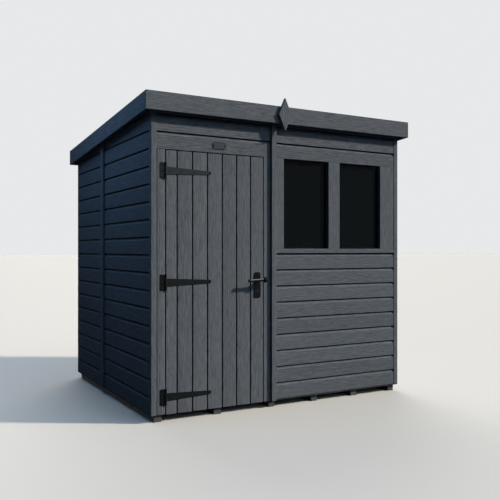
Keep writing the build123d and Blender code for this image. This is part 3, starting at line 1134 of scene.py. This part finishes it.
def roofCovering():  # made level from the front edge back, then tipped to the roof's slope
    low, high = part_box("roof_felt")
    length = (high.y - low.y) / math.cos(roofPitch) - 2 * felt["endRoom"]
    base = (high.y - low.y) * roofSlope - (high.z - low.z)
    stripLength = (length + (felt["strips"] - 1) * felt["lap"]) / felt["strips"]
    nailStart = low.x + felt["nailInset"]
    nailSpan = high.x - low.x - 2 * felt["nailInset"]
    spaces = round(nailSpan / felt["nailSpacing"])
    nailLevel = base + felt["thickness"] + felt["nailHeight"] / 2

    def nailed(y, rise):
        start = (nailStart, y, nailLevel + rise)
        return nailRow(start, spaces + 1, (nailSpan / spaces, 0, 0))

    strips = []
    nails = []
    for i in range(felt["strips"]):
        front = i * (stripLength - felt["lap"])
        rear = front + stripLength
        strip = block((low.x, front, base), (high.x, rear, base + felt["thickness"]))
        rise = 0
        if i < felt["strips"] - 1:  # its end climbs onto the next strip
            rise = felt["rise"]
            lapStart = rear - felt["lap"]
            for offset in felt["bend"]:
                cutAcross(strip, (0, lapStart + offset, 0), (0, 1, 0))
            shift(strip, lambda co: co.y > lapStart, (0, 0, rise))
        easeEdges(strip, felt["arris"])
        strips.append(strip)
        nails.append(nailed(rear - felt["nailInset"], rise))
    nails.append(nailed(felt["nailInset"], 0))
    covering = joined(strips, "feltStrips")
    heads = joined(nails, "feltNails")
    for piece in (covering, heads):
        piece.location = (0, low.y + felt["endRoom"], high.z)
        piece.rotation_euler = (-roofPitch, 0, 0)
        settle(piece)
    dress(covering, roofFelt, "shed", ["roof_felt"])
    dress(heads, nailSteel)


roofCovering()
print("felt laid")

# Windows: the panes with eased edges, and a mitred bead round each on the inside
window = {"glassArris": 0.0004, "beadWidth": 0.010, "beadDepth": 0.012, "beadRounding": 0.004}


def glazingBead(start, end, sill, head, face):
    clearSelection()
    bpy.ops.mesh.primitive_plane_add(
        size=1,
        location=((start + end) / 2, face, (sill + head) / 2),
        rotation=(math.radians(90), 0, 0),
    )
    bead = bpy.context.object
    bead.scale = (end - start, head - sill, 1)
    settle(bead)
    width = window["beadWidth"]
    depth = window["beadDepth"]
    bpy.ops.object.mode_set(mode="EDIT")
    bpy.ops.mesh.select_mode(type="FACE")
    bpy.ops.mesh.select_all(action="SELECT")
    bpy.ops.mesh.inset(thickness=width)
    bpy.ops.mesh.delete(type="FACE")
    bpy.ops.mesh.select_all(action="SELECT")
    bpy.ops.mesh.extrude_region_move(TRANSFORM_OT_translate={"value": (0, depth, 0)})
    bpy.ops.mesh.select_all(action="SELECT")
    bpy.ops.mesh.normals_make_consistent(inside=False)
    bpy.ops.object.mode_set(mode="OBJECT")
    inner = width - samePlace

    def innerEdge(a, b):
        return all(
            co.y > face + depth - samePlace
            and start + inner < co.x < end - inner
            and sill + inner < co.z < head - inner
            for co in (a, b)
        )

    bevelEdges(bead, innerEdge, window["beadRounding"], 3)
    return bead


def glazing():
    dressCopy(
        "window_panes", "windowGlass", window["glassArris"], glass, segments=1
    )
    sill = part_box("window_sill")[1].z
    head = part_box("window_left_stile")[1].z
    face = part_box("window_panes")[1].y
    openings = (
        (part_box("window_left_stile")[1].x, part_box("window_mullion")[0].x),
        (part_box("window_mullion")[1].x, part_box("window_right_stile")[0].x),
    )
    beads = [glazingBead(start, end, sill, head, face) for start, end in openings]
    dress(joined(beads, "glazingBeads"), levelPaint)


glazing()
print("windows glazed")

# Ironwork: tee hinges, lock plate and lever, with their screws
screw = {
    "radius": 0.0054,
    "height": 0.0016,
    "sides": 16,
    "dome": 0.8,
    "capShare": 0.9,
    "slotEndRoom": 0.25,
    "slotNarrowing": 0.25,
    "slotDepth": 0.00084,
}
hinge = {
    "topInset": 0.137,
    "middleRise": 0.880,
    "bottomRise": 0.117,
    "strapThickness": 0.004,
    "plateThickness": 0.003,
    "strapScrews": (0.031, 0.108, 0.210, 0.324),
    "plateScrews": ((-0.026, 0.041), (-0.026, 0.0), (-0.026, -0.041)),
    "arris": 0.0007,
}
lockFittings = {
    "screws": (0.0795, -0.0795),
    "screwSize": 0.9,
    "faceInset": 0.003,
    "arris": 0.0008,
}


def screwHead(place, size=1.0):  # a domed head with a slot, facing the front
    x, face, z = place
    radius = screw["radius"] * size
    height = screw["height"] * size
    clearSelection()
    bpy.ops.mesh.primitive_cylinder_add(
        vertices=screw["sides"],
        radius=radius,
        depth=height,
        location=(x, face - height / 2, z),
        rotation=(math.radians(90), 0, 0),
    )
    head = settle(bpy.context.object)
    front = face - height + samePlace
    bevelEdges(head, lambda a, b: max(a.y, b.y) < front, height * screw["dome"], 3)
    cap = screw["capShare"]
    choose(head, "FACE", lambda middle, normal: normal.y < -cap and middle.y < face - height * cap)
    bpy.ops.mesh.inset(thickness=radius * screw["slotEndRoom"])
    bpy.ops.transform.resize(value=(1, 1, screw["slotNarrowing"]))
    bpy.ops.mesh.extrude_region_move(
        TRANSFORM_OT_translate={"value": (0, screw["slotDepth"] * size, 0)}
    )
    bpy.ops.object.mode_set(mode="OBJECT")
    return head


def hinges():
    width = hinge["arris"]
    dressCopy("hinge_straps", "hingeStraps", width, strapBlack, "door")
    dressCopy("hinge_plates", "hingePlates", width, hingeBlack)
    dressCopy("hinge_pins", "hingePins", width, hingeBlack)
    pinLow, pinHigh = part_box("hinge_pins")
    pinX = (pinLow.x + pinHigh.x) / 2
    doorLow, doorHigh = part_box("door_leaf")
    hingeLevels = (
        doorHigh.z - hinge["topInset"],
        doorLow.z + hinge["middleRise"],
        doorLow.z + hinge["bottomRise"],
    )
    strapFace = doorLow.y - hinge["strapThickness"]
    plateFace = doorLow.y - hinge["plateThickness"]
    strapScrews = []
    plateScrews = []
    for z in hingeLevels:
        for offset in hinge["strapScrews"]:
            strapScrews.append(screwHead((pinX + offset, strapFace, z)))
        for offset, rise in hinge["plateScrews"]:
            plateScrews.append(screwHead((pinX + offset, plateFace, z + rise)))
    dress(joined(strapScrews, "strapScrews"), screwBlack, "door")
    dress(joined(plateScrews, "plateScrews"), screwBlack, "shed")


def lockAndLever():
    width = lockFittings["arris"]
    dressCopy("lock_plate", "lockPlate", width, lockBlack, "door")
    middle = (lockLow + lockHigh) / 2
    face = lockLow.y + lockFittings["faceInset"]
    heads = [
        screwHead((middle.x, face, middle.z + rise), lockFittings["screwSize"])
        for rise in lockFittings["screws"]
    ]
    dress(joined(heads, "lockScrews"), screwBlack, "door")
    dressCopy("lever_handle", "leverHandle", width, leverFinish, "lever")


hinges()
lockAndLever()
print("ironwork fitted")

# Small bare plate on the board over the door
blankPlate = {
    "fromWallEnd": 0.501,
    "height": 1.868,
    "width": 0.108,
    "tall": 0.050,
    "corner": 0.020,
    "cornerSteps": 4,
    "thickness": 0.0025,
    "rim": 0.0035,
    "face": 0.0012,
    "arris": 0.0005,
    "screwInset": 0.013,
    "screwSize": 1.1,
}


def fitBlankPlate():
    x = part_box("left_wall_front_panel")[0].x + blankPlate["fromWallEnd"]
    z = blankPlate["height"]
    halfWidth = blankPlate["width"] / 2
    halfTall = blankPlate["tall"] / 2
    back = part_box("header_over_door")[0].y
    front = back - blankPlate["thickness"]
    raised = front - blankPlate["face"]

    def roundedPlate(name, inset, near, far, material):
        low = (x - halfWidth + inset, near, z - halfTall + inset)
        high = (x + halfWidth - inset, far, z + halfTall - inset)
        plate = block(low, high)
        corner = blankPlate["corner"] - inset
        acrossPlate = (far - near) / 2
        bevelEdges(
            plate, lambda a, b: abs(a.y - b.y) > acrossPlate, corner, blankPlate["cornerSteps"]
        )
        easeEdges(plate, blankPlate["arris"])
        plate.name = name
        dress(plate, material)

    # the black back plate shows as a rim round the grey face: a painted dark outline standing in
    # for the plate's shadow
    roundedPlate("blankPlateShadowRim", 0, front, back, hingeBlack)
    roundedPlate("blankPlateFace", blankPlate["rim"], raised, front, plateGrey)
    reach = halfWidth - blankPlate["screwInset"]
    heads = [
        screwHead((x + offset, raised, z), blankPlate["screwSize"]) for offset in (-reach, reach)
    ]
    dress(joined(heads, "blankPlateScrews"), hingeBlack)


fitBlankPlate()
print("blank plate fitted")
